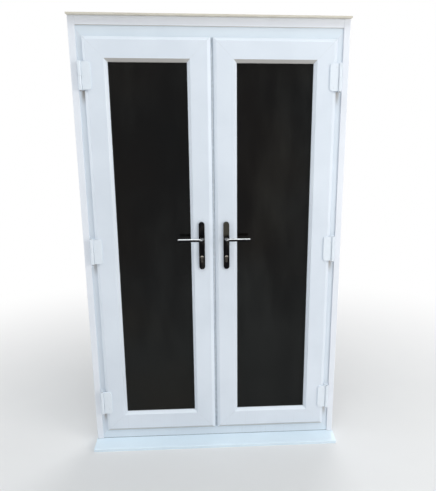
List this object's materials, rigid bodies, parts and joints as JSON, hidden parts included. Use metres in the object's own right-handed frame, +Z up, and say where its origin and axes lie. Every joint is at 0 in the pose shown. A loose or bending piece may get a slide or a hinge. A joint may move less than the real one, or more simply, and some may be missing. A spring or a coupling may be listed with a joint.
{
  "type": "french doors with frame",
  "caption": "Pair of outward-opening glazed french doors in a frame with sill, cover trims, flag hinges, lever handles, shoot bolts and a deadbolt.",
  "frame": {"origin": "on the sill's underside, midway across, in the plane of the frame's outside face", "axes": "+X to the right seen from outside, +Y from the outside into the room, +Z up"},
  "size_m": [1.246, 0.1895, 2.072],
  "materials": {
    "white_plastic": "extruded white plastic, semi-gloss",
    "cream_plastic": "extruded plastic yellowed to cream",
    "dark_plastic": "moulded dark plastic",
    "zinc_steel": "zinc plated steel",
    "pin_steel": "dull steel",
    "white_metal": "white stoved paint",
    "black_rubber": "black gasket rubber",
    "grey_rubber": "grey seal rubber",
    "glass": "clear float glass",
    "spacer": "mill finish aluminium",
    "nickel": "satin nickel",
    "chrome": "polished chrome"
  },
  "bodies": {
    "frame": {"frame_jamb_left": "white_plastic", "frame_jamb_right": "white_plastic", "frame_head": "white_plastic", "frame_foot": "white_plastic", "frame_steels": "zinc_steel", "frame_seal": "grey_rubber", "head_extension": "white_plastic", "head_drip": "cream_plastic", "cover_trims": "white_plastic", "sill": "white_plastic", "sill_end_caps": "white_plastic", "bolt_keeps": "zinc_steel", "hinge_frame_brackets": "white_metal", "hinge_pins": "pin_steel", "sill_sealant": "grey_rubber"},
    "left_leaf": {"left_hinge_stile": "white_plastic", "left_lock_stile": "white_plastic", "left_bottom_rail": "white_plastic", "left_top_rail": "white_plastic", "left_steels": "zinc_steel", "left_glass_panes": "glass", "left_glass_spacer": "spacer", "left_glazing_beads": "white_plastic", "left_glazing_gaskets": "black_rubber", "left_meeting_profile": "white_plastic", "left_seals": "grey_rubber", "left_hinge_flags": "white_metal", "left_lock_faceplate": "zinc_steel", "left_lock_case": "zinc_steel", "left_cylinder": "nickel", "left_backplates": "chrome", "left_glass_packers": "dark_plastic"},
    "left_handles": {"left_levers": "chrome", "left_spindle": "zinc_steel"},
    "left_top_bolt": {"left_top_bolt": "zinc_steel"},
    "left_bottom_bolt": {"left_bottom_bolt": "zinc_steel"},
    "left_key_plug": {"left_cylinder_plug": "nickel"},
    "right_leaf": {"right_hinge_stile": "white_plastic", "right_lock_stile": "white_plastic", "right_bottom_rail": "white_plastic", "right_top_rail": "white_plastic", "right_steels": "zinc_steel", "right_glass_panes": "glass", "right_glass_spacer": "spacer", "right_glazing_beads": "white_plastic", "right_glazing_gaskets": "black_rubber", "right_meeting_profile": "white_plastic", "right_seals": "grey_rubber", "right_hinge_flags": "white_metal", "right_lock_faceplate": "zinc_steel", "right_lock_case": "zinc_steel", "right_cylinder": "nickel", "right_backplates": "chrome", "right_glass_packers": "dark_plastic"},
    "right_handles": {"right_levers": "chrome", "right_spindle": "zinc_steel"},
    "right_top_bolt": {"right_top_bolt": "zinc_steel"},
    "right_bottom_bolt": {"right_bottom_bolt": "zinc_steel"},
    "right_key_plug": {"right_cylinder_plug": "nickel"},
    "right_deadbolt": {"right_deadbolt": "zinc_steel"}
  },
  "joints": [
    {"name": "left_leaf_swing", "type": "hinge", "parent": "frame", "child": "left_leaf", "pos_m": [-0.577, -0.025, 1.0295], "axis": [0, 0, -1], "range_deg": [0, 90]},
    {"name": "left_handles_lift", "type": "hinge", "parent": "left_leaf", "child": "left_handles", "pos_m": [-0.0585, 0.015, 1.088], "axis": [0, 1, 0], "range_deg": [0, 45], "stiffness_Nm_per_rad": 1.6},
    {"name": "left_top_bolt_slide", "type": "slide", "parent": "left_leaf", "child": "left_top_bolt", "axis": [0, 0, 1], "range_m": [0, 0.0201]},
    {"name": "left_bottom_bolt_slide", "type": "slide", "parent": "left_leaf", "child": "left_bottom_bolt", "axis": [0, 0, -1], "range_m": [0, 0.0201]},
    {"name": "left_key_turn", "type": "hinge", "parent": "left_leaf", "child": "left_key_plug", "pos_m": [-0.0585, 0.015, 0.996], "axis": [0, 1, 0], "range_deg": [0, 360]},
    {"name": "right_leaf_swing", "type": "hinge", "parent": "frame", "child": "right_leaf", "pos_m": [0.577, -0.025, 1.0295], "axis": [0, 0, 1], "range_deg": [0, 90]},
    {"name": "right_handles_lift", "type": "hinge", "parent": "right_leaf", "child": "right_handles", "pos_m": [0.0585, 0.015, 1.088], "axis": [0, -1, 0], "range_deg": [0, 45], "stiffness_Nm_per_rad": 1.6},
    {"name": "right_top_bolt_slide", "type": "slide", "parent": "right_leaf", "child": "right_top_bolt", "axis": [0, 0, 1], "range_m": [0, 0.0201]},
    {"name": "right_bottom_bolt_slide", "type": "slide", "parent": "right_leaf", "child": "right_bottom_bolt", "axis": [0, 0, -1], "range_m": [0, 0.0201]},
    {"name": "right_key_turn", "type": "hinge", "parent": "right_leaf", "child": "right_key_plug", "pos_m": [0.0585, 0.015, 0.996], "axis": [0, 1, 0], "range_deg": [0, 360]},
    {"name": "right_deadbolt_slide", "type": "slide", "parent": "right_leaf", "child": "right_deadbolt", "axis": [-1, 0, 0], "range_m": [0, 0.02]}
  ],
  "couplings": [
    {"joint": "left_top_bolt_slide", "follows": "left_handles_lift", "m_per_rad": 0.025465},
    {"joint": "left_bottom_bolt_slide", "follows": "left_handles_lift", "m_per_rad": 0.025465},
    {"joint": "right_top_bolt_slide", "follows": "right_handles_lift", "m_per_rad": 0.025465},
    {"joint": "right_bottom_bolt_slide", "follows": "right_handles_lift", "m_per_rad": 0.025465}
  ]
}
